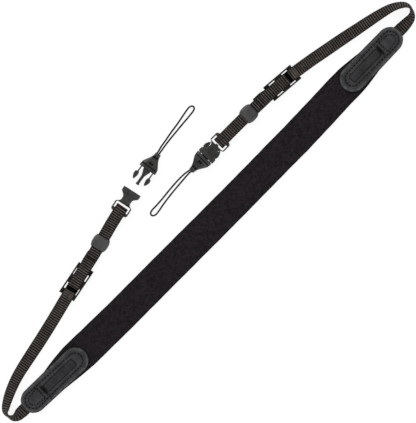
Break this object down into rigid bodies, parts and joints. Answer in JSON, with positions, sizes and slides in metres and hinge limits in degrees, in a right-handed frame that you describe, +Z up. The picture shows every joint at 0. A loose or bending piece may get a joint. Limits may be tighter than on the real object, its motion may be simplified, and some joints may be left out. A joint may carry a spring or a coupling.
{
  "type": "camera neck strap",
  "caption": "Padded neck strap with leather end tongues, ribbed webbing, length adjusters and small release buckles on thin cord loops, laid flat.",
  "frame": {"origin": "middle of the laid-out strap without its cord loops, on the surface that it lies on", "axes": "+X along the neck pad, +Y from the pad towards the webbing and buckles, +Z up from the surface"},
  "size_m": [0.4779, 0.0959, 0.01],
  "materials": {
    "neoprene": "fine black knit on foam rubber",
    "leather": "charcoal, fine pebble grain, black stitching",
    "webbing": "warm grey cross ribs between black edges",
    "moulded_plastic": "satin dark grey",
    "smooth_plastic": "smooth mid grey",
    "cord": "fine braid"
  },
  "bodies": {
    "root": {"pad": "neoprene", "tab_left": "leather", "tab_right": "leather", "webbing_left": "webbing", "webbing_right": "webbing", "slider_left": "moulded_plastic", "slider_right": "moulded_plastic", "keeper_left": "smooth_plastic", "keeper_right": "smooth_plastic", "socket_left": "moulded_plastic", "socket_right": "moulded_plastic", "prong_left": "moulded_plastic", "prong_right": "moulded_plastic", "cord_loop_left": "cord", "cord_loop_right": "cord"}
  },
  "joints": []
}
